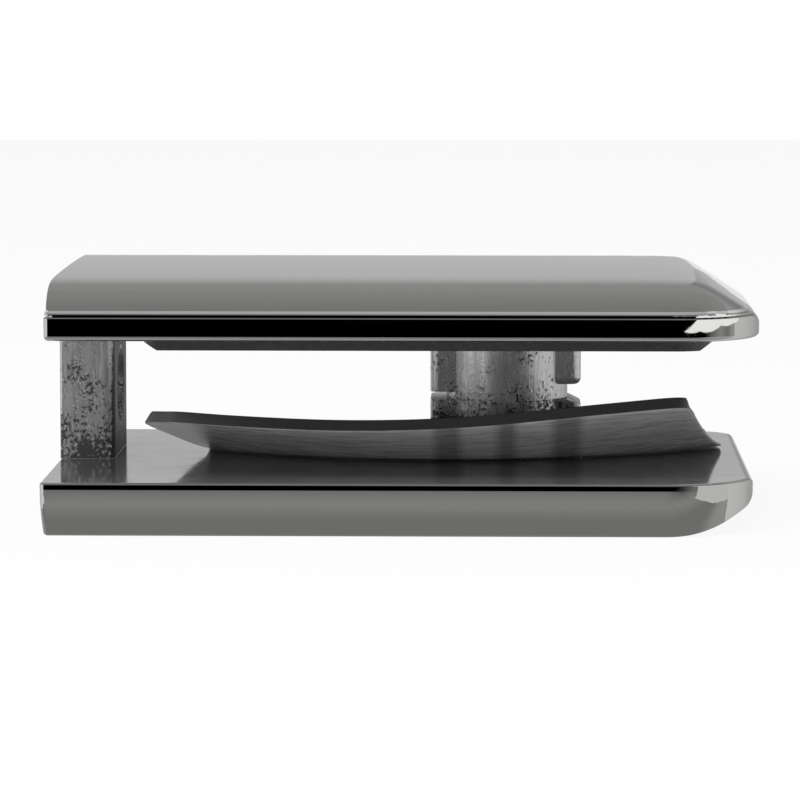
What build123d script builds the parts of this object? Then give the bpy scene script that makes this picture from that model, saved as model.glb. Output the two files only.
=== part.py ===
from build123d import *
from math import exp, hypot, radians, sqrt, tan
import os

# Glass panel clamp: a zinc base casting with a mounting post, a cover casting
# that one countersunk screw draws down onto it, and two rubber gaskets between.
# Millimetres. The origin is the centre of the post's screw hole on the mounting
# face. +X runs from the mounting face to the glass end, +Z from base to cover.

# Plan of both castings
clamp_length = 63.0
front_reach = 26.0           # screw axis to the front edge
back_reach = 19.0            # screw axis to the back edge
front_corner_radius = 8.0    # glass end, front corner
back_corner_radius = 5.0     # glass end, back corner
mount_corner_radius = 0.4
glass_gap = 12.46            # base floor to cover rim, clamp closed
cut_overrun = 5.0            # how far cutting tools run past the metal

# Base casting
base_thickness = 4.7
base_land_height = 0.62      # upright band under the floor's edge
base_bow_radius = 27.5       # the wall under the band curves in
base_edge_radius = 0.2
base_foot_chamfer = 0.15
base_nose_run = 4.9          # glass end: how far back the lower slope starts
base_nose_height = 2.1       # glass end: floor down to the lower slope
base_nose_edge_radius = 0.8  # glass end: floor's edge
base_nose_radius = 1.6
base_nose_blend_radius = 12.0
bow_section_shares = (0, 0.35, 0.7, 1)

# Mounting post on the base
post_thickness = 5.0
post_width = 14.0
post_corner_radius = 1.05
post_back_radius = 0.2
post_entry = 3.0             # how far the post stands into the cover
post_hole_radius = 3.3
post_hole_lead = 0.4

# Cover casting
cover_setback = 0.45         # mounting face to the cover's end
cover_height = 5.2
rim_height = 2.1
rim_edge_radius = 0.42
rim_shoulder_radius = 0.12
groove_height = 0.16
groove_depth = 0.4
bead_height = 0.34
bead_inset = 0.06
bead_radius = 0.12
upper_inset = 0.2            # wall over the bead
crown_rise = 0.25            # bow of the top across the width
rounding_drop = 2.4          # fall of the top to its long edges
rounding_run = 1.6           # how fast that fall dies out inwards
cover_nose_run = 4.9         # glass end: how far back the slope starts, at the front
cover_nose_slope_share = 0.655
cover_nose_blend = 1.0
cover_nose_skew_share = 0.0185
cover_nose_height = 1.52     # glass end: rim to the foot of the slope
cover_nose_edge_angle = 50.0
cover_nose_edge_radius = 1.7
skin_grid_step = 1.25
notch_clearance = 0.35
notch_head_room = 0.3

# Boss in both castings, with a stepped dog between them
boss_reach = 40.9            # mounting face to the clamp screw's axis
hub_radius = 5.75
wing_span = 13.9
wing_depth = 7.0
wing_corner_radius = 0.9
base_boss_height = 5.2
dog_rise = 0.65              # seat that stands up on the mount side of the boss
dog_inset = 0.25
dog_step = 1.0               # screw axis to the dog's step, towards the glass end
dog_clearance = 0.15
boss_closing_gap = 0.05
right_wing_relief = 1.4      # how much higher the cover's glass side wing ends
wing_end_radius = 0.6        # lower end of the cover's glass side wing
wing_slope_share = 0.45      # fall of the base's glass side wing towards its end

# Clamp screw, M6 countersunk with a hexagon socket
screw_radius = 2.95
screw_length = 18.0
screw_head_radius = 5.65
screw_head_edge = 0.35
screw_tip_chamfer = 0.6
socket_across_flats = 4.0
socket_depth = 2.3
screw_thread_clearance = 0.05
screw_hole_clearance = 0.3
screw_seat_clearance = 0.1
screw_recess = 0.1
screw_bore_spare = 2.0

# Gaskets
gasket_thickness = 1.0
gasket_front_margin = 2.6    # casting edge to gasket edge
gasket_back_reach = 10.6     # screw axis to the gasket's back edge
gasket_mount_reach = 32.0
gasket_glass_reach = 18.4
gasket_front_corner_radius = 3.5
gasket_back_corner_radius = 4.0
gasket_small_corner_radius = 1.2
gasket_hole_length = 21.0    # opening round the boss, along the clamp
gasket_hole_width = 13.9
gasket_hole_corner_radius = 3.0
gasket_bevel_height = 0.8    # the stuck gasket's two ends
gasket_bevel_run = 1.3
gasket_rest_gap = 0.12

# Curl of the loose base gasket: it lies flat behind a bowed line and rises in front
curl_turn_angle = 8.5
curl_shift = 2.1
curl_plan_share = 0.965      # length of the curled sheet in plan
curl_line_reach = 35.5       # mounting face to the foremost point of the bowed line
curl_line_front = 7.4        # how far in front of the screw axis that point lies
curl_line_bow = 27.0         # radius of the bow
curl_blend = 3.0
curl_hump_reach = 42.0
curl_hump_width = 22.0
curl_slope_share = 0.2
curl_hump_share = 0.15
curl_grid_step = 2.5

# Heights
floor_z = -glass_gap / 2
base_bottom_z = floor_z - base_thickness
rim_z = glass_gap / 2
cover_top_z = rim_z + cover_height
base_boss_top_z = floor_z + base_boss_height
clamp_width = front_reach + back_reach
screw_tip_z = base_bottom_z + screw_recess + screw_length


def plan_outline(inset=0.0):
    """The plan shared by both castings, pulled in all round by inset."""
    half_x = clamp_length / 2 - inset
    half_y = clamp_width / 2 - inset
    plan = Pos(clamp_length / 2, (back_reach - front_reach) / 2) * Rectangle(2 * half_x, 2 * half_y)
    corners = plan.vertices().group_by(Axis.X)
    plan = fillet(corners[-1].sort_by(Axis.Y)[0], front_corner_radius - inset)
    glass_back = plan.vertices().group_by(Axis.Y)[-1].sort_by(Axis.X)[-1]
    plan = fillet(glass_back, back_corner_radius - inset)
    mount_side = plan.vertices().group_by(Axis.X)[0]
    return fillet(mount_side, mount_corner_radius)


def side_prism(points, blends):
    """A prism across the whole width from a side view outline of (x, z) points.

    blends holds (x, z, radius) for each corner of the outline that is rounded.
    """
    profile = make_face(Polyline(*points, close=True))
    for x, z, radius in blends:
        corner = profile.vertices().sort_by_distance(Vector(x, z))[0]
        profile = fillet(corner, radius)
    upright = Plane.XZ.offset(-back_reach - cut_overrun) * profile
    return extrude(upright, clamp_width + 2 * cut_overrun, dir=(0, -1, 0))


def boss_outline(grow=0.0):
    """Round hub with a wing at each side, in plan about the screw axis."""
    wings = RectangleRounded(wing_span + 2 * grow, wing_depth + 2 * grow, wing_corner_radius + grow)
    return Circle(hub_radius + grow) + wings


def at_boss(height):
    """The screw axis at the given height."""
    return Pos(boss_reach, 0, height)


def half_block(side, bottom, top):
    """A block on one side of the dog's step: side is -1 for the mount side."""
    length = clamp_length
    centre_x = boss_reach + dog_step + side * length / 2
    return Pos(centre_x, 0, (bottom + top) / 2) * Box(length, clamp_width, top - bottom)


def skin(height_at, step, thickness, direction):
    """A slab under or over a smooth face through heights on a grid that covers the plan."""
    columns = round((clamp_length + 2 * cut_overrun) / step)
    rows = round((clamp_width + 2 * cut_overrun) / step)
    grid = []
    for column in range(columns):
        x = column * step - cut_overrun
        ys = [row * step - front_reach - cut_overrun for row in range(rows)]
        grid.append([Vector(x, y, height_at(x, y)) for y in ys])
    face = Face.make_surface_from_array_of_points(grid)
    return extrude(face, thickness, dir=(0, 0, direction))


# Base casting
def bow_inset(drop):
    """How far the curved wall lies inside the plan, at a given depth under the upright band."""
    return base_bow_radius - sqrt(base_bow_radius ** 2 - drop ** 2)


def base_plate():
    land = extrude(Pos(0, 0, floor_z) * plan_outline(), base_land_height, dir=(0, 0, -1))
    land = fillet(land.faces().sort_by(Axis.Z)[-1].outer_wire().edges(), base_edge_radius)
    land_z = floor_z - base_land_height
    foot_z = base_bottom_z + base_foot_chamfer
    drops = [(land_z - foot_z) * share for share in bow_section_shares]
    wall = loft([Pos(0, 0, land_z - drop) * plan_outline(bow_inset(drop)) for drop in drops])
    foot_inset = bow_inset(drops[-1])
    foot_plans = [
        Pos(0, 0, foot_z) * plan_outline(foot_inset),
        Pos(0, 0, base_bottom_z) * plan_outline(foot_inset + base_foot_chamfer),
    ]
    wall += loft(foot_plans, ruled=True)
    slope_z = floor_z - base_nose_height
    slope_start = (clamp_length - base_nose_run, base_bottom_z)
    side = side_prism([
        (-cut_overrun, floor_z),
        (clamp_length, floor_z),
        (clamp_length, slope_z),
        slope_start,
        (-cut_overrun, base_bottom_z),
    ], [
        (clamp_length, floor_z, base_nose_edge_radius),
        (clamp_length, slope_z, base_nose_radius),
        (*slope_start, base_nose_blend_radius),
    ])
    return (land + wall) & side


def base_post():
    height = glass_gap + post_entry
    sketch = Pos(post_thickness / 2, 0) * Rectangle(post_thickness, post_width)
    glass_side = sketch.vertices().group_by(Axis.X)[-1]
    sketch = fillet(glass_side, post_corner_radius)
    mount_side = sketch.vertices().group_by(Axis.X)[0]
    sketch = fillet(mount_side, post_back_radius)
    return extrude(Pos(0, 0, floor_z) * sketch, height)


def post_hole():
    reach = post_thickness + 2 * cut_overrun
    bore = Pos(post_thickness / 2, 0, 0) * Rot(0, 90, 0) * Cylinder(post_hole_radius, reach)
    lead = Pos(post_thickness - post_hole_lead / 2, 0, 0) * Rot(0, 90, 0) * Cone(
        post_hole_radius, post_hole_radius + post_hole_lead, post_hole_lead)
    return bore + lead


def base_boss():
    boss = extrude(at_boss(floor_z) * boss_outline(), base_boss_height)
    boss -= side_prism([
        (boss_reach + hub_radius, base_boss_top_z),
        (boss_reach + hub_radius + cut_overrun, base_boss_top_z - cut_overrun * wing_slope_share),
        (boss_reach + hub_radius + cut_overrun, base_boss_top_z + dog_rise),
    ], [])
    seat = extrude(at_boss(base_boss_top_z) * Circle(hub_radius - dog_inset), dog_rise)
    seat = seat & half_block(-1, base_boss_top_z, base_boss_top_z + dog_rise)
    return boss + seat


def screw_passage():
    """Clearance hole and countersink for the clamp screw."""
    hole_radius = screw_radius + screw_hole_clearance
    height = base_thickness + base_boss_height + dog_rise + 2 * cut_overrun
    hole = at_boss(floor_z) * Cylinder(hole_radius, 2 * height)
    seat_radius = screw_head_radius + screw_seat_clearance
    mouth = at_boss(base_bottom_z) * Cylinder(seat_radius, 2 * (screw_recess + screw_head_edge))
    cone_height = seat_radius - hole_radius
    cone_z = base_bottom_z + screw_recess + screw_head_edge + cone_height / 2
    cone = at_boss(cone_z) * Cone(seat_radius, hole_radius, cone_height)
    return hole + mouth + cone


def base_shell():
    body = base_plate() + base_post() + base_boss()
    return body - post_hole() - screw_passage()


# Cover casting
def long_edge_fall(x, y, reach, radius):
    """Fall of the cover's skin towards a long edge at y = reach, led round its glass end corner."""
    along = max(x - clamp_length + radius, 0.0)
    across = max(y - reach + radius, 0.0)
    straight = fall_at(reach - y)
    if along * across == 0:
        return straight
    turn = across / hypot(along, across)
    return turn * fall_at(radius - hypot(along, across)) + (1 - turn) * straight


def fall_at(distance):
    """Fall of the cover's skin at a distance in from the edge of the plan."""
    depth = (distance - upper_inset) / rounding_run
    return rounding_drop * (exp(-depth) if depth > 0 else 1 - depth)


def nose_fall(x, y):
    """Fall of the cover's skin towards the glass end, a slope with a soft start."""
    skew = (y + front_reach) * cover_nose_skew_share
    run = x - clamp_length + cover_nose_run + skew
    return cover_nose_slope_share * (run + hypot(run, cover_nose_blend)) / 2


def cover_skin_height(x, y):
    middle = (back_reach - front_reach) / 2
    crest = cover_top_z - crown_rise * ((y - middle) / (clamp_width / 2)) ** 2
    edges = long_edge_fall(x, -y, front_reach, front_corner_radius)
    edges += long_edge_fall(x, y, back_reach, back_corner_radius)
    return crest - hypot(edges, nose_fall(x, y))


def cover_plate():
    rim = extrude(Pos(0, 0, rim_z) * plan_outline(), rim_height)
    rim = fillet(rim.faces().sort_by(Axis.Z)[0].outer_wire().edges(), rim_edge_radius)
    rim = fillet(rim.faces().sort_by(Axis.Z)[-1].outer_wire().edges(), rim_shoulder_radius)
    neck = extrude(Pos(0, 0, rim_z) * plan_outline(groove_depth), rim_height + groove_height)
    bead_z = rim_z + rim_height + groove_height
    bead = extrude(Pos(0, 0, bead_z) * plan_outline(bead_inset), bead_height)
    bead = fillet(bead.faces().sort_by(Axis.Z)[-1].outer_wire().edges(), bead_radius)
    upper = extrude(Pos(0, 0, bead_z) * plan_outline(upper_inset), cover_height)
    foot_z = rim_z + cover_nose_height
    lean = cover_top_z - foot_z
    end = side_prism([
        (-cut_overrun, rim_z),
        (clamp_length, rim_z),
        (clamp_length, foot_z),
        (clamp_length - lean / tan(radians(cover_nose_edge_angle)), cover_top_z),
        (-cut_overrun, cover_top_z),
    ], [(clamp_length, foot_z, cover_nose_edge_radius)])
    under_skin = skin(cover_skin_height, skin_grid_step, clamp_width, -1)
    body = (rim + neck + bead + upper) & end & under_skin
    return Pos(cover_setback, 0, 0) * body


def post_notch():
    """Notch in the cover's end that takes the top of the post."""
    length = post_thickness + notch_clearance
    width = post_width + 2 * notch_clearance
    height = post_entry + notch_head_room
    block = Pos(length / 2 - cut_overrun / 2, 0, rim_z + height / 2 - cut_overrun / 2) * Box(
        length + cut_overrun, width, height + cut_overrun)
    glass_side = block.edges().filter_by(Axis.Z).group_by(Axis.X)[-1]
    return fillet(glass_side, post_corner_radius + notch_clearance)


def cover_boss():
    """Boss that comes down onto the base's boss, cut to match the stepped dog."""
    foot_z = base_boss_top_z + boss_closing_gap
    seat_z = base_boss_top_z + dog_rise + boss_closing_gap
    wing_z = base_boss_top_z + right_wing_relief
    boss = extrude(at_boss(foot_z) * boss_outline(), rim_z - foot_z + rim_edge_radius)
    boss -= half_block(-1, foot_z - cut_overrun, seat_z)
    step_gap = Pos(boss_reach + dog_step, 0, (foot_z + seat_z) / 2) * Box(
        2 * dog_clearance, clamp_width, seat_z - foot_z)
    boss -= step_gap
    wing_cut = Pos(boss_reach + clamp_length / 2, 0, wing_z - clamp_length / 2) * Box(
        clamp_length, clamp_width, clamp_length)
    keep = extrude(at_boss(foot_z - cut_overrun) * Circle(hub_radius), glass_gap)
    boss -= wing_cut - keep
    wing_foot = boss.edges().filter_by(Axis.Y).sort_by_distance((boss_reach + wing_span / 2, 0, wing_z))[0]
    return fillet(wing_foot, wing_end_radius)


def thread_bore():
    """Threaded bore for the clamp screw, blind inside the cover."""
    bottom = base_boss_top_z - cut_overrun
    top = screw_tip_z + screw_bore_spare
    return at_boss((bottom + top) / 2) * Cylinder(screw_radius + screw_thread_clearance, top - bottom)


def cover_shell():
    return cover_plate() + cover_boss() - post_notch() - thread_bore()


# Gaskets
def gasket_outline():
    """Gasket plan about the screw axis, with its hole for the boss."""
    length = gasket_mount_reach + gasket_glass_reach
    front = gasket_front_margin - front_reach
    width = gasket_back_reach - front
    centre_y = (gasket_back_reach + front) / 2
    sheet = Pos((gasket_glass_reach - gasket_mount_reach) / 2, centre_y) * Rectangle(length, width)
    front_corner = sheet.vertices().group_by(Axis.X)[-1].sort_by(Axis.Y)[0]
    sheet = fillet(front_corner, gasket_front_corner_radius)
    back_corner = sheet.vertices().group_by(Axis.Y)[-1].sort_by(Axis.X)[-1]
    sheet = fillet(back_corner, gasket_back_corner_radius)
    sheet = fillet(sheet.vertices().group_by(Axis.X)[0], gasket_small_corner_radius)
    return sheet - RectangleRounded(gasket_hole_length, gasket_hole_width, gasket_hole_corner_radius)


def cover_gasket():
    sheet = extrude(at_boss(rim_z) * gasket_outline(), gasket_thickness, dir=(0, 0, -1))
    mount_end = boss_reach - gasket_mount_reach
    glass_end = boss_reach + gasket_glass_reach
    under_z = rim_z - gasket_thickness
    bevelled = side_prism([
        (mount_end, rim_z),
        (glass_end, rim_z),
        (glass_end, under_z + gasket_bevel_height),
        (glass_end - gasket_bevel_run, under_z),
        (mount_end + gasket_bevel_run, under_z),
        (mount_end, under_z + gasket_bevel_height),
    ], [])
    return sheet & bevelled


def curl_height(x, y):
    """How high the loose gasket's underside stands over the floor."""
    line_y = (x - curl_line_reach) ** 2 / (2 * curl_line_bow) - curl_line_front
    run = max(line_y - y, 0.0)
    hump = exp(-((x - curl_hump_reach) / curl_hump_width) ** 2)
    slope = curl_slope_share + curl_hump_share * hump
    return slope * (hypot(run, curl_blend) - curl_blend)


def curled_underside(x, y):
    return floor_z + gasket_rest_gap + curl_height(x, y)


def base_gasket():
    """The loose gasket, turned a little about the boss and curled up at the front."""
    sheet = skin(curled_underside, curl_grid_step, gasket_thickness, 1)
    plan = scale(gasket_outline(), by=(curl_plan_share, 1, 1))
    turned = at_boss(floor_z) * Rot(0, 0, -curl_turn_angle) * Pos(curl_shift, 0) * plan
    return sheet & extrude(turned, glass_gap)


# Clamp screw
def clamp_screw():
    bottom = base_bottom_z + screw_recess
    neck_z = bottom + screw_head_edge + screw_head_radius - screw_radius
    outline = Polyline(
        (0, bottom),
        (screw_head_radius, bottom),
        (screw_head_radius, bottom + screw_head_edge),
        (screw_radius, neck_z),
        (screw_radius, screw_tip_z - screw_tip_chamfer),
        (screw_radius - screw_tip_chamfer, screw_tip_z),
        (0, screw_tip_z),
        close=True,
    )
    body = revolve(Plane.XZ * make_face(outline), Axis.Z)
    hexagon = RegularPolygon(socket_across_flats / 2, 6, major_radius=False)
    socket = extrude(Pos(0, 0, bottom) * hexagon, socket_depth)
    return Pos(boss_reach, 0, 0) * (body - socket)


pieces = {
    "base_shell": base_shell,
    "cover_shell": cover_shell,
    "base_gasket": base_gasket,
    "cover_gasket": cover_gasket,
    "clamp_screw": clamp_screw,
}

os.makedirs("parts", exist_ok=True)
for node, make in pieces.items():
    export_step(make(), f"parts/{node}.step")
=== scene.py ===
from math import atan2, cos, exp, hypot, radians, sin

import bpy
from mathutils import Matrix, Vector


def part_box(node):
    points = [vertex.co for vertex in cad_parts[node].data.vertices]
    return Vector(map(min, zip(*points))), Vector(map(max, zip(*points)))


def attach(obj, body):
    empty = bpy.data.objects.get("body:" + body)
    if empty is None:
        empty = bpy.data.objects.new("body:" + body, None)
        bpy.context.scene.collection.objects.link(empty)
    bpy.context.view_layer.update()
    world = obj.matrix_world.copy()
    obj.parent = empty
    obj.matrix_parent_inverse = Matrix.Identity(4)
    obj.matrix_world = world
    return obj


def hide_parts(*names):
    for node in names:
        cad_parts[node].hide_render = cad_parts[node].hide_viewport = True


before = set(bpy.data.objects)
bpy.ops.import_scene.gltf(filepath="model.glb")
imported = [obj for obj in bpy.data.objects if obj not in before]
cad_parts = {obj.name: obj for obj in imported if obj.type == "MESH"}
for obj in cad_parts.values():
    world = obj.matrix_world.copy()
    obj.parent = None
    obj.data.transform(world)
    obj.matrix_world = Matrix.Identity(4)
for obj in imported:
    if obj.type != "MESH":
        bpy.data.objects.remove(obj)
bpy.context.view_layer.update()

MM = 0.001
TINY = 1e-6

# Camera, matched to the photograph: where it stands, and how it is turned
CAMERA_PLACE = Vector((41.25, -420.0, 40.5)) * MM
CAMERA_YAW = radians(1.39)
CAMERA_PITCH = radians(5.70)
CAMERA_LENS = 203.8
CAMERA_SENSOR = 36.0
CAMERA_NEAR = 10 * MM

# The castings' levels, as in the part's source. They are left as cast from a small margin above the base's
# floor to a small margin below the cover's rim.
BASE_THICKNESS = 4.7 * MM
GLASS_GAP = 12.46 * MM
RAW_MARGIN = 0.03 * MM
base_low = Vector(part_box("base_shell")[0])
base_floor_z = base_low.z + BASE_THICKNESS
rim_z = base_floor_z + GLASS_GAP

# In all finishes a relief is in millimetres, and these are the ranges that a noise is stretched from
NOISE_WIDE = (0.3, 0.7)
NOISE_HIGH = (0.35, 0.7)
NOISE_MIDDLE = (0.35, 0.65)

# Bright plating, satin on each casting's flat face towards the other, with a painted highlight, a near-white
# band, on the bead's edge
PLATING_COLOR = (0.46, 0.4577, 0.4462, 1.0)
PLATING_ROUGHNESS = (0.006, 0.02)
PLATING_GRAIN = 0.5 * MM
PLATING_WAVE = 9 * MM
PLATING_WAVE_RELIEF = 0.0002
GRAZING_TINT = 0.51
BEAD_PAINTED_HIGHLIGHT = 0.98
BEAD_BAND = (8.67 * MM, 8.89 * MM)
SATIN_METAL_SHARE = 0.76
SATIN_ROUGHNESS = (0.06, 0.16)
SMUDGE_SIZE = 2.2 * MM
SMUDGE_STRETCH = (0.5, 1.0, 1.0)
SMUDGE_RANGE = (0.4, 0.65)
SPECK_SMUDGE_SHARE = 0.5
SPECK_RANGE = (0.9, 0.96)
SPECK_STRENGTH = 0.5
SPECK_REFLECTANCE = 0.16

# As-cast walls. Pits are densest at the post's foot. On those walls of the post that face along X, more dark
# pits are painted shade.
RAW_REFLECTANCE = 0.5
RAW_METAL_SHARE = 0.86
RAW_ROUGHNESS = (0.2, 0.34)
STREAK_SIZE = 0.45 * MM
STREAK_STRETCH = (1.0, 1.0, 0.08)
STREAK_RELIEF = 0.035
CRUMB_SIZE = 0.32 * MM
CRUMB_RELIEF = 0.03
PIT_AND_SHADE_REFLECTANCE = 0.1
PIT_ROUGHNESS = 0.2
PIT_RELIEF = 0.09
PIT_RANGE = (1.02, 1.09)
PIT_CLUSTER_SIZE = 2.6 * MM
PIT_CLUSTER_DENSITY = 0.75
FOOT_RISE = 8 * MM
FOOT_DENSITY = (0.24, -0.02)
PAINTED_SHADE_FACING = (0.7, 0.95)
PAINTED_SHADE_DENSITY = 0.5
PAINTED_SHADE_REACH = (12 * MM, 20 * MM)

# Rubber: a scratched and scarred face that looks down, with a painted reflection of the boss on it, and matte
# edges
RUBBER_IOR = 1.58
FACING_DOWN = (-0.8, -0.6)
FACE_ROUGHNESS = (0.13, 0.26)
EDGE_ROUGHNESS = (0.38, 0.5)
EDGE_TONES = (0.7, 1.3)
SCRATCH_WIDTH = 0.55 * MM
SCRATCH_STRETCH = (0.1, 1.0, 1.0)
SCRATCH_TONES = (0.8, 1.2)
SCRATCH_RELIEF = 0.03
SCAR_SIZE = 1.3 * MM
SCAR_STRETCH = (0.35, 1.0, 1.0)
SCAR_TONES = (0.85, 1.12)
SCAR_RELIEF = 0.06
SKIN_GRAIN = 0.25 * MM
SKIN_RELIEF = 0.006
SPOT_SIZE = 0.8 * MM
SPOT_RANGE = (0.66, 0.72)
SPOT_SHADE = 0.45
# Painted reflection of the boss: darker bands in line with it on the face that looks down, as the photograph
# shows them: from and to along X
PAINTED_REFLECTION_BANDS = ((34.6 * MM, 36.9 * MM), (40.2 * MM, 41.9 * MM), (45.2 * MM, 47.7 * MM))
BAND_BLUR = 0.5 * MM
BAND_SHADE = 0.5

# Screw
STEEL_COLOR = (0.56, 0.56, 0.57, 1.0)
STEEL_ROUGHNESS = (0.22, 0.34)
STEEL_GRAIN = 0.4 * MM

# The loose gasket, as in the part's source: flat behind a bowed line, curled up in front of it
BOSS_REACH = 40.9 * MM
SHEET_THICKNESS = 1.0 * MM
SHEET_REST_GAP = 0.12 * MM
CURL_LINE_REACH = 35.5 * MM
CURL_LINE_FRONT = 7.4 * MM
CURL_LINE_BOW = 27.0 * MM
CURL_BLEND = 3.0 * MM
CURL_HUMP_REACH = 42.0 * MM
CURL_HUMP_WIDTH = 22.0 * MM
CURL_SLOPE_SHARE = 0.2
CURL_HUMP_SHARE = 0.15
CURL_PROBE = 0.2 * MM
# Plan of the curled sheet in millimetres, from the glass end round the front to the back
SHEET_PLAN = ((61.1, 2.6), (60.2, -2.4), (59.1, -9.1), (58.0, -16.9), (57.5, -20.8), (56.9, -23.0),
              (55.4, -23.75), (52.7, -23.9), (47.5, -23.9), (40.4, -23.5), (34.4, -23.3), (27.2, -23.2),
              (20.0, -23.1), (15.6, -22.4), (12.1, -21.2), (10.2, -19.2), (8.9, -17.4), (8.5, -15.6),
              (8.9, -13.2), (10.2, -9.0), (11.9, -3.7), (13.0, -0.6), (13.0, 4.0), (12.7, 9.4),
              (13.8, 10.6), (25.0, 10.6), (33.0, 10.6), (40.0, 10.6), (48.0, 10.6), (55.0, 10.6),
              (59.0, 10.3), (60.2, 9.0), (60.8, 6.0))
# The opening follows the boss, a hub with two wings, and leaves it a little air
HOLE_HUB_RADIUS = 6.1 * MM
HOLE_WING_HALF = (7.2 * MM, 3.75 * MM)
SHEET_SPOKES = 420
SHEET_RINGS = 26
SHEET_EDGE_ROUND = 0.1 * MM
SHEET_ROUND_TURNS = [radians(turn) for turn in (0, 30, 60, 90)]
# Keeps two points of a section apart where the edge has no bevel
SHEET_LEAST_STEP = 0.001 * MM
# The two ends are bevelled on top. An edge has none of the bevel where less than the first share of its
# direction is along Y, and all of it where more than the second is.
SHEET_BEVEL_HEIGHT = 0.75 * MM
SHEET_BEVEL_RUN = 1.25 * MM
SHEET_BEVEL_FACING = (0.85, 0.98)

# Table, which carries the shadow. Its front half isn't mirrored, because the studio is darker there.
TABLE_HALF = 800 * MM
TABLE_REFLECTANCE = 0.86
SHADOW_SHARE = 0.1
TABLE_AIR = 0.01 * MM
TABLE_SPLIT_INSET = 2 * MM
table_z = base_low.z - TABLE_AIR
table_split = base_low.y + TABLE_SPLIT_INSET

# Cards that the plating mirrors: their corners in millimetres, and how bright they are. The softbox to the
# right of the camera shows in the glass end's front corner. Its image lies under it, as if seen in the table.
# For both, a corner is a distance along the line from RIGHT_START to RIGHT_END, and a height.
RIGHT_START = Vector((120, -150, 0)) * MM
RIGHT_END = Vector((260, -20, 0)) * MM
SOFTBOX_RIGHT = ((-27, -5.4), (26, -4.1), (102, -4.45), (170, -7.4), (232, -10.8), (222, 12.0), (34, 8.0),
                 (18, -2.8))
SOFTBOX_RIGHT_LEVEL = 1.65
SOFTBOX_IMAGE = ((30, -30), (100, -36), (215, -42), (232, -24), (55, -11.5))
SOFTBOX_IMAGE_LEVEL = 0.95
# The boss and the post show this one
SOFTBOX_LEFT = ((-50, -155, -35), (-120, 0, -35), (-120, 0, 30), (-50, -155, 30))
SOFTBOX_LEFT_LEVEL = 1.15
# Behind and to the right. The cover's nose shows it.
GREY_CARD_RIGHT = ((200, 10, 0), (91, 450, 0), (91, 450, 200), (200, 10, 140))
GREY_CARD_RIGHT_LEVEL = 0.6

# Brightness of the studio by direction in degrees: 0 is the horizon behind, 90 overhead, 180 the horizon in
# front and 270 straight down
SKY_LEVELS = ((0, 0.66), (4, 0.8), (9, 0.93), (15, 0.95), (22, 0.84), (30, 0.7), (60, 0.48), (90, 0.42),
              (120, 0.34), (150, 0.27), (166, 0.26), (172, 0.3), (176, 0.0), (187.4, 0.0), (188.6, 0.28),
              (192, 0.45), (198, 0.32), (206, 0.32), (216, 0.5), (250, 0.55), (280, 0.4), (330, 0.8),
              (355, 1.0))

# Lamps: place, what they point at and size in millimetres, power in watts
LAMPS = {
    "overhead": {"place": (-100, -250, 550), "target": (30, 0, 0), "size": (500, 500), "power": 3.0},
    "front_fill": {"place": (20, -600, 30), "target": (30, 0, -2), "size": (500, 60), "power": 2.6},
}


# Node helpers
def grey(level):
    return (level, level, level, 1.0)


class Nodes:
    """A short way to write the nodes of a material, or of the world."""

    def __init__(self, owner):
        self.owner = owner
        owner.use_nodes = True
        self.tree = owner.node_tree
        self.tree.nodes.clear()

    def add(self, kind, sockets=None, **settings):
        """New node with these settings, and with a value or a link on each of these sockets."""
        node = self.tree.nodes.new("ShaderNode" + kind)
        for name, setting in settings.items():
            setattr(node, name, setting)
        for name, value in (sockets or {}).items():
            if isinstance(value, bpy.types.NodeSocket):
                self.tree.links.new(value, node.inputs[name])
            else:
                node.inputs[name].default_value = value
        return node

    def finish(self, shader):
        """Shows this shader, and gives back the material or the world."""
        kind = "OutputWorld" if isinstance(self.owner, bpy.types.World) else "OutputMaterial"
        self.add(kind, {"Surface": shader.outputs[0]})
        return self.owner

    def math(self, operation, *values):
        return self.add("Math", dict(enumerate(values)), operation=operation).outputs[0]

    def plus(self, first, second):
        return self.math("ADD", first, second)

    def times(self, first, second):
        return self.math("MULTIPLY", first, second)

    def dimmed(self, value, share):
        """value with this share of it taken away."""
        return self.times(value, self.math("SUBTRACT", 1.0, share))

    def span(self, value, source, target):
        """Straight line from the source range to the target range, level outside it."""
        sockets = {"Value": value, "From Min": source[0], "From Max": source[1],
                   "To Min": target[0], "To Max": target[1]}
        return self.add("MapRange", sockets).outputs[0]

    def mix(self, share, first, second, data_type="RGBA"):
        """Colour between two others."""
        sockets = {"Factor": share, "A": first, "B": second}
        return self.add("Mix", sockets, data_type=data_type).outputs["Result"]

    def blend(self, share, first, second):
        """Number between two others."""
        return self.mix(share, first, second, "FLOAT")

    def place(self):
        return self.add("TexCoord").outputs["Object"]

    def normal(self):
        return self.add("TexCoord").outputs["Normal"]

    def axis(self, vector, letter):
        return self.add("SeparateXYZ", {0: vector}).outputs[letter]

    def noise(self, vector, size, detail, roughness=0.55, stretch=None):
        """Noise of this size in metres. A stretch below 1 along an axis draws it out along that axis."""
        if stretch:
            vector = self.add("Mapping", {"Vector": vector, "Scale": stretch}).outputs["Vector"]
        sockets = {"Vector": vector, "Scale": 1 / size, "Detail": detail, "Roughness": roughness}
        return self.add("TexNoise", sockets).outputs["Fac"]

    def grey(self, level):
        return self.add("CombineColor", {"Red": level, "Green": level, "Blue": level}).outputs[0]

    def bump(self, relief):
        return self.add("Bump", {"Strength": 1.0, "Distance": MM, "Height": relief}).outputs["Normal"]


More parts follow.
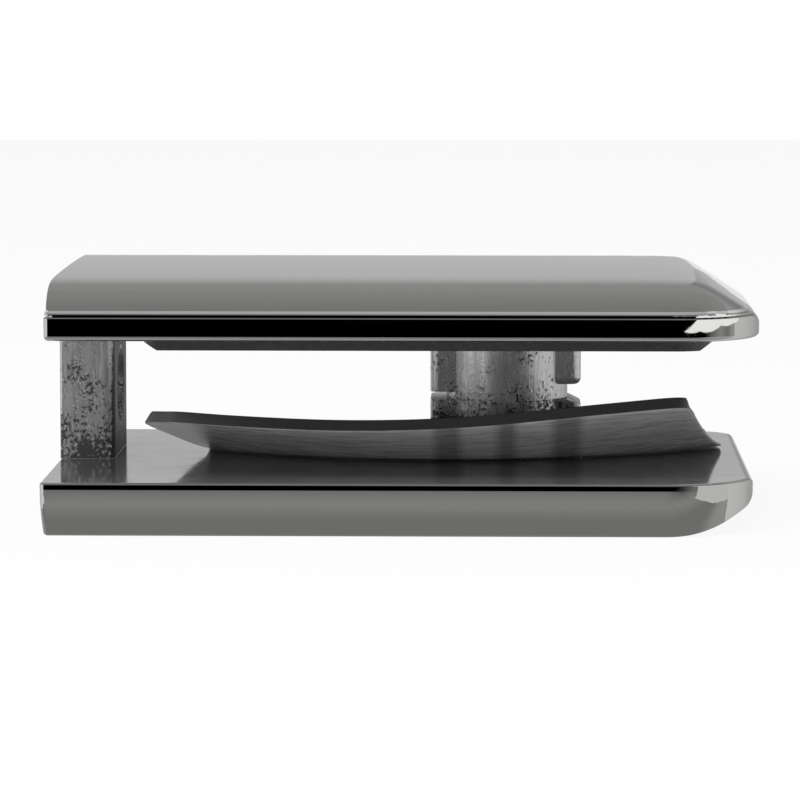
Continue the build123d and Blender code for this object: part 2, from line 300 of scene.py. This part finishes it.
# Finishes
def bright_skin(nodes, place, height, crumbs, flat):
    """Mirror-like plating: satin with smudges and specks where flat is 1, and a painted highlight in the
    bead's band.
    """
    grain = nodes.noise(place, PLATING_GRAIN, detail=3.0)
    wave = nodes.noise(place, PLATING_WAVE, detail=2.0)
    smudges = nodes.noise(place, SMUDGE_SIZE, detail=4.0, roughness=0.65, stretch=SMUDGE_STRETCH)
    specks = nodes.plus(crumbs, nodes.times(smudges, SPECK_SMUDGE_SHARE))
    specks = nodes.times(nodes.span(specks, SPECK_RANGE, (0.0, SPECK_STRENGTH)), flat)
    # Painted highlight: a near-white band along the bead's edge
    above = nodes.math("GREATER_THAN", height, BEAD_BAND[0])
    below = nodes.math("LESS_THAN", height, BEAD_BAND[1])
    color = nodes.mix(nodes.times(above, below), PLATING_COLOR, grey(BEAD_PAINTED_HIGHLIGHT))
    return {
        "color": nodes.mix(specks, color, grey(SPECK_REFLECTANCE)),
        "metal": nodes.blend(flat, 1.0, SATIN_METAL_SHARE),
        "roughness": nodes.blend(flat, nodes.span(grain, NOISE_HIGH, PLATING_ROUGHNESS),
                                 nodes.span(smudges, SMUDGE_RANGE, SATIN_ROUGHNESS)),
        "relief": nodes.times(wave, PLATING_WAVE_RELIEF),
    }


def pit_and_painted_shade_mask(nodes, place, height, crumbs):
    clusters = nodes.times(nodes.noise(place, PIT_CLUSTER_SIZE, detail=2.0), PIT_CLUSTER_DENSITY)
    foot = nodes.span(height, (base_floor_z, base_floor_z + FOOT_RISE), FOOT_DENSITY)
    # Painted shade: more dark pits on the post's walls that face along X, near the post
    facing = nodes.math("ABSOLUTE", nodes.axis(nodes.normal(), "X"))
    painted_flank_shade = nodes.times(nodes.span(facing, PAINTED_SHADE_FACING, (0.0, PAINTED_SHADE_DENSITY)),
                        nodes.span(nodes.axis(place, "X"), PAINTED_SHADE_REACH, (1.0, 0.0)))
    pit_and_shade_density = nodes.plus(nodes.plus(clusters, foot), painted_flank_shade)
    return nodes.span(nodes.plus(crumbs, pit_and_shade_density), PIT_RANGE, (0.0, 1.0))


def as_cast_skin(nodes, place, height, crumbs):
    """Upright streaks, crumbs, dark pits, and painted shade as more dark pits on the post's walls that face
    along X.
    """
    streaks = nodes.noise(place, STREAK_SIZE, detail=3.0, stretch=STREAK_STRETCH)
    pits_and_painted_shade = pit_and_painted_shade_mask(nodes, place, height, crumbs)
    roughness = nodes.span(streaks, NOISE_WIDE, RAW_ROUGHNESS)
    raised = nodes.plus(nodes.times(streaks, STREAK_RELIEF), nodes.times(crumbs, CRUMB_RELIEF))
    return {
        # Dark of the pits, and of the painted shade on the post's walls that face along X
        "color": nodes.mix(pits_and_painted_shade, grey(RAW_REFLECTANCE), grey(PIT_AND_SHADE_REFLECTANCE)),
        "metal": RAW_METAL_SHARE,
        "roughness": nodes.plus(roughness, nodes.times(pits_and_painted_shade, PIT_ROUGHNESS)),
        "relief": nodes.math("SUBTRACT", raised, nodes.times(pits_and_painted_shade, PIT_RELIEF)),
    }


def zinc_plating(name, raw_side):
    """Dark bright plating, mirror-like outside and left as cast between the two plates.

    raw_side is +1 where the as-cast part lies above raw_level, and -1 where it lies below.
    """
    nodes = Nodes(bpy.data.materials.new(name))
    place = nodes.place()
    height = nodes.axis(place, "Z")
    crumbs = nodes.noise(place, CRUMB_SIZE, detail=3.0, roughness=0.7)
    raw_level = (base_floor_z if raw_side > 0 else rim_z) + raw_side * RAW_MARGIN
    raw = nodes.math("GREATER_THAN", nodes.times(height, float(raw_side)), raw_side * raw_level)
    off_level = nodes.math("ABSOLUTE", nodes.math("SUBTRACT", height, raw_level))
    flat = nodes.math("LESS_THAN", off_level, 2 * RAW_MARGIN)

    bright = bright_skin(nodes, place, height, crumbs, flat)
    cast = as_cast_skin(nodes, place, height, crumbs)
    relief = nodes.blend(raw, bright["relief"], cast["relief"])
    return nodes.finish(nodes.add("BsdfPrincipled", {
        "Base Color": nodes.mix(raw, bright["color"], cast["color"]),
        "Metallic": nodes.blend(raw, bright["metal"], cast["metal"]),
        "Roughness": nodes.blend(raw, bright["roughness"], cast["roughness"]),
        "Specular Tint": grey(GRAZING_TINT),
        "Normal": nodes.bump(relief),
    }))


def wear_and_painted_reflection_tone(nodes, place, scratches, scars):
    """Tone of the worn face, about 1: scratches, scars, dark spots, and the darker bands in line with the
    boss, which are a painted reflection of it.
    """
    tone = nodes.times(nodes.span(scratches, NOISE_WIDE, SCRATCH_TONES),
                       nodes.span(scars, NOISE_MIDDLE, SCAR_TONES))
    spots = nodes.noise(place, SPOT_SIZE, detail=3.0, roughness=0.7)
    tone = nodes.dimmed(tone, nodes.span(spots, SPOT_RANGE, (0.0, SPOT_SHADE)))
    # Painted reflection: the boss's dark bands, painted as darker bands along X
    along = nodes.axis(place, "X")
    for start, end in PAINTED_REFLECTION_BANDS:
        rise = nodes.span(along, (start - BAND_BLUR, start + BAND_BLUR), (0.0, BAND_SHADE))
        fall = nodes.span(along, (end - BAND_BLUR, end + BAND_BLUR), (1.0, 0.0))
        tone = nodes.dimmed(tone, nodes.times(rise, fall))
    return tone


def black_rubber(name, face, edge):
    """Semi-gloss rubber, with a painted reflection of the boss on the side that looks down. face is the
    reflectance of that side, and edge that of the rest.
    """
    nodes = Nodes(bpy.data.materials.new(name))
    place = nodes.place()
    down = nodes.span(nodes.axis(nodes.normal(), "Z"), FACING_DOWN, (1.0, 0.0))
    scratches = nodes.noise(place, SCRATCH_WIDTH, detail=5.0, roughness=0.65, stretch=SCRATCH_STRETCH)
    scars = nodes.noise(place, SCAR_SIZE, detail=4.0, roughness=0.7, stretch=SCAR_STRETCH)
    skin = nodes.noise(place, SKIN_GRAIN, detail=3.0)
    face_wear_and_painted_reflection = nodes.times(wear_and_painted_reflection_tone(nodes, place, scratches, scars), face)
    edge_tone = nodes.span(skin, NOISE_HIGH, [tone * edge for tone in EDGE_TONES])
    roughness = nodes.blend(down, nodes.span(skin, NOISE_WIDE, EDGE_ROUGHNESS),
                            nodes.span(scratches, NOISE_HIGH, FACE_ROUGHNESS))
    relief = nodes.plus(nodes.times(scratches, SCRATCH_RELIEF), nodes.times(scars, SCAR_RELIEF))
    relief = nodes.plus(nodes.times(relief, down), nodes.times(skin, SKIN_RELIEF))
    return nodes.finish(nodes.add("BsdfPrincipled", {
        "Base Color": nodes.grey(nodes.blend(down, edge_tone, face_wear_and_painted_reflection)),
        "Roughness": roughness,
        "IOR": RUBBER_IOR,
        "Normal": nodes.bump(relief),
    }))


def bright_steel():
    nodes = Nodes(bpy.data.materials.new("bright_steel_finish"))
    grain = nodes.noise(nodes.place(), STEEL_GRAIN, detail=3.0)
    return nodes.finish(nodes.add("BsdfPrincipled", {
        "Base Color": STEEL_COLOR,
        "Metallic": 1.0,
        "Roughness": nodes.span(grain, NOISE_WIDE, STEEL_ROUGHNESS),
    }))


def dress(node, material):
    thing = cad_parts[node]
    thing.data.materials.clear()
    thing.data.materials.append(material)


loose_rubber = black_rubber("loose_rubber", face=0.33, edge=0.006)
dress("base_shell", zinc_plating("base_plating", 1))
dress("cover_shell", zinc_plating("cover_plating", -1))
dress("clamp_screw", bright_steel())
dress("base_gasket", loose_rubber)
dress("cover_gasket", black_rubber("stuck_rubber", face=0.03, edge=0.016))


# Loose gasket: a sheet curled up at the front, which stands for its CAD solid
def smooth_loop(points, count):
    """Closed smooth curve through the points, as a list of count points."""
    loop = []
    for step in range(count):
        whole, share = divmod(step * len(points) / count, 1)
        before, start, end, after = (points[(int(whole) + shift) % len(points)] for shift in (-1, 0, 1, 2))
        loop.append(0.5 * (2 * start + (end - before) * share
                           + (2 * before - 5 * start + 4 * end - after) * share ** 2
                           + (3 * start - before - 3 * end + after) * share ** 3))
    return loop


def underside_z(x, y):
    line_y = (x - CURL_LINE_REACH) ** 2 / (2 * CURL_LINE_BOW) - CURL_LINE_FRONT
    run = max(line_y - y, 0.0)
    slope = CURL_SLOPE_SHARE + CURL_HUMP_SHARE * exp(-((x - CURL_HUMP_REACH) / CURL_HUMP_WIDTH) ** 2)
    return base_floor_z + SHEET_REST_GAP + slope * (hypot(run, CURL_BLEND) - CURL_BLEND)


def sheet_place(plan, lift):
    """Place of a point of the plan that lies this far from the curled underside, square to it."""
    x, y = plan
    tilt_x = (underside_z(x + CURL_PROBE, y) - underside_z(x - CURL_PROBE, y)) / (2 * CURL_PROBE)
    tilt_y = (underside_z(x, y + CURL_PROBE) - underside_z(x, y - CURL_PROBE)) / (2 * CURL_PROBE)
    return Vector((x, y, underside_z(x, y))) + Vector((-tilt_x, -tilt_y, 1.0)).normalized() * lift


def hole_reach(angle):
    """From the screw axis to the opening's edge."""
    shares = (cos(angle), sin(angle))
    wing = min(half / max(abs(share), TINY) for half, share in zip(HOLE_WING_HALF, shares))
    return max(HOLE_HUB_RADIUS, wing)


def bevel_share(edge_direction):
    low, high = SHEET_BEVEL_FACING
    share = min(max((abs(edge_direction.y) - low) / (high - low), 0.0), 1.0)
    return share * share * (3 - 2 * share)


def sheet_section(inner, outer, bevel):
    """Closed section from the opening to the edge: points of the plan, each with its lift off the underside.

    It runs outwards along the underside, up the edge, inwards along the top, and down the opening's wall.
    """
    out = (outer - inner).normalized()
    r = SHEET_EDGE_ROUND
    top = SHEET_THICKNESS
    run = bevel * SHEET_BEVEL_RUN
    drop = bevel * SHEET_BEVEL_HEIGHT
    turns = SHEET_ROUND_TURNS
    rings = [step / SHEET_RINGS for step in range(SHEET_RINGS + 1)]
    start = inner + out * r
    section = [(start.lerp(outer - out * r, ring), 0.0) for ring in rings]
    section += [(outer - out * r * (1 - sin(turn)), r * (1 - cos(turn))) for turn in turns[1:]]
    section.append((outer, top - drop - r - SHEET_LEAST_STEP))
    section += [(outer - out * (run + r * (1 - cos(turn))), top - r * (1 - sin(turn))) for turn in turns]
    section += [(start.lerp(outer - out * (run + r), ring), top) for ring in rings[-2::-1]]
    section += [(inner + out * r * (1 - sin(turn)), top - r * (1 - cos(turn))) for turn in turns[1:]]
    section += [(inner + out * r * (1 - cos(turn)), r * (1 - sin(turn))) for turn in turns[:-1]]
    return section


def sheet_mesh(name):
    """One section for each spoke about the screw axis, each joined to the next."""
    outline = smooth_loop([Vector(point) * MM for point in SHEET_PLAN], SHEET_SPOKES)
    centre = Vector((BOSS_REACH, 0.0))
    sections = []
    for index, outer in enumerate(outline):
        spoke = outer - centre
        inner = centre + spoke.normalized() * hole_reach(atan2(spoke.y, spoke.x))
        edge_direction = (outline[(index + 1) % SHEET_SPOKES] - outline[index - 1]).normalized()
        sections.append(sheet_section(inner, outer, bevel_share(edge_direction)))
    size = len(sections[0])
    faces = []
    for index in range(SHEET_SPOKES):
        this = index * size
        following = (index + 1) % SHEET_SPOKES * size
        for step in range(size):
            other = (step + 1) % size
            faces.append((this + step, this + other, following + other, following + step))
    mesh = bpy.data.meshes.new(name)
    mesh.from_pydata([sheet_place(plan, lift) for section in sections for plan, lift in section], [], faces)
    mesh.polygons.foreach_set("use_smooth", [True] * len(mesh.polygons))
    mesh.validate()
    return mesh


def loose_sheet():
    thing = bpy.data.objects.new("loose_gasket_sheet", sheet_mesh("loose_gasket_sheet"))
    bpy.context.collection.objects.link(thing)
    thing.data.materials.append(loose_rubber)
    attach(thing, "base")
    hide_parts("base_gasket")


loose_sheet()


# Stage
def stage_piece(name, corners, material):
    """One flat face with these corners."""
    mesh = bpy.data.meshes.new(name)
    mesh.from_pydata(corners, [], [tuple(range(len(corners)))])
    thing = bpy.data.objects.new(name, mesh)
    bpy.context.collection.objects.link(thing)
    thing.data.materials.append(material)
    return thing


def backdrop_paint():
    """White to the camera and to mirror-like faces, with a share left to carry the object's shadow."""
    nodes = Nodes(bpy.data.materials.new("backdrop_paint"))
    diffuse = nodes.add("BsdfDiffuse", {"Color": grey(TABLE_REFLECTANCE)})
    white = nodes.add("Emission", {"Strength": 1.0})
    path = nodes.add("LightPath").outputs
    seen = nodes.math("MAXIMUM", path["Is Camera Ray"], path["Is Glossy Ray"])
    seen = nodes.math("MAXIMUM", seen, path["Is Transmission Ray"])
    share = nodes.times(seen, 1 - SHADOW_SHARE)
    return nodes.finish(nodes.add("MixShader", {0: share, 1: diffuse.outputs[0], 2: white.outputs[0]}))


def table_half(name, front, back, material):
    """One half of the table, from front to back along Y."""
    spots = ((-TABLE_HALF, front), (TABLE_HALF, front), (TABLE_HALF, back), (-TABLE_HALF, back))
    return stage_piece(name, [(x, y, table_z) for x, y in spots], material)


def glow(name, level):
    nodes = Nodes(bpy.data.materials.new(name))
    return nodes.finish(nodes.add("Emission", {"Color": grey(1.0), "Strength": level}))


def studio_card(name, corners, level):
    """A card that only mirror-like faces see, so it changes neither the background nor the light."""
    thing = stage_piece(name, corners, glow(name + "_glow", level))
    thing.visible_camera = False
    thing.visible_diffuse = False
    thing.visible_shadow = False


def right_card(spots):
    """Corners from distances along the right softbox's line and heights."""
    along = (RIGHT_END - RIGHT_START).normalized()
    return [RIGHT_START + (along * distance + Vector((0, 0, height))) * MM for distance, height in spots]


def free_card(corners):
    return [Vector(corner) * MM for corner in corners]


def sky():
    """White to the camera. To all else its brightness changes about the X axis, as SKY_LEVELS says."""
    world = bpy.data.worlds.new("studio")
    bpy.context.scene.world = world
    nodes = Nodes(world)
    direction = nodes.add("TexCoord").outputs["Generated"]
    angle = nodes.math("ARCTAN2", nodes.axis(direction, "Z"), nodes.axis(direction, "Y"))
    angle = nodes.plus(angle, nodes.times(nodes.math("LESS_THAN", angle, 0.0), radians(360)))
    ramp = nodes.add("ValToRGB", {"Fac": nodes.math("DIVIDE", angle, radians(360))})
    elements = ramp.color_ramp.elements
    while len(elements) < len(SKY_LEVELS):
        elements.new(0.5)
    for element, (degrees, level) in zip(elements, SKY_LEVELS):
        element.position = degrees / 360
        element.color = grey(level)
    path = nodes.add("LightPath").outputs
    seen = nodes.math("MAXIMUM", path["Is Camera Ray"], path["Is Transmission Ray"])
    color = nodes.mix(seen, ramp.outputs["Color"], grey(1.0))
    nodes.finish(nodes.add("Background", {"Color": color, "Strength": 1.0}))


def area_light(name, place, target, size, power):
    data = bpy.data.lights.new(name, "AREA")
    data.shape = "RECTANGLE"
    data.size, data.size_y = Vector(size) * MM
    data.energy = power
    thing = bpy.data.objects.new(name, data)
    thing.location = Vector(place) * MM
    thing.rotation_euler = (Vector(target) - Vector(place)).to_track_quat("-Z", "Y").to_euler()
    thing.visible_glossy = False
    bpy.context.collection.objects.link(thing)


def camera():
    data = bpy.data.cameras.new("camera")
    data.lens = CAMERA_LENS
    data.sensor_width = CAMERA_SENSOR
    data.clip_start = CAMERA_NEAR
    thing = bpy.data.objects.new("camera", data)
    turn = Matrix.Rotation(CAMERA_YAW, 4, "Z") @ Matrix.Rotation(radians(90) - CAMERA_PITCH, 4, "X")
    thing.matrix_world = Matrix.Translation(CAMERA_PLACE) @ turn
    bpy.context.collection.objects.link(thing)
    bpy.context.scene.camera = thing


table_paint = backdrop_paint()
table_half("floor_rear", table_split, TABLE_HALF, table_paint)
table_half("floor_front", -TABLE_HALF, table_split, table_paint).visible_glossy = False
studio_card("softbox_right", right_card(SOFTBOX_RIGHT), SOFTBOX_RIGHT_LEVEL)
studio_card("softbox_image", right_card(SOFTBOX_IMAGE), SOFTBOX_IMAGE_LEVEL)
studio_card("softbox_left", free_card(SOFTBOX_LEFT), SOFTBOX_LEFT_LEVEL)
studio_card("grey_card_right", free_card(GREY_CARD_RIGHT), GREY_CARD_RIGHT_LEVEL)
sky()
for name, values in LAMPS.items():
    area_light(name, **values)
camera()
bpy.context.scene.view_settings.view_transform = "Standard"
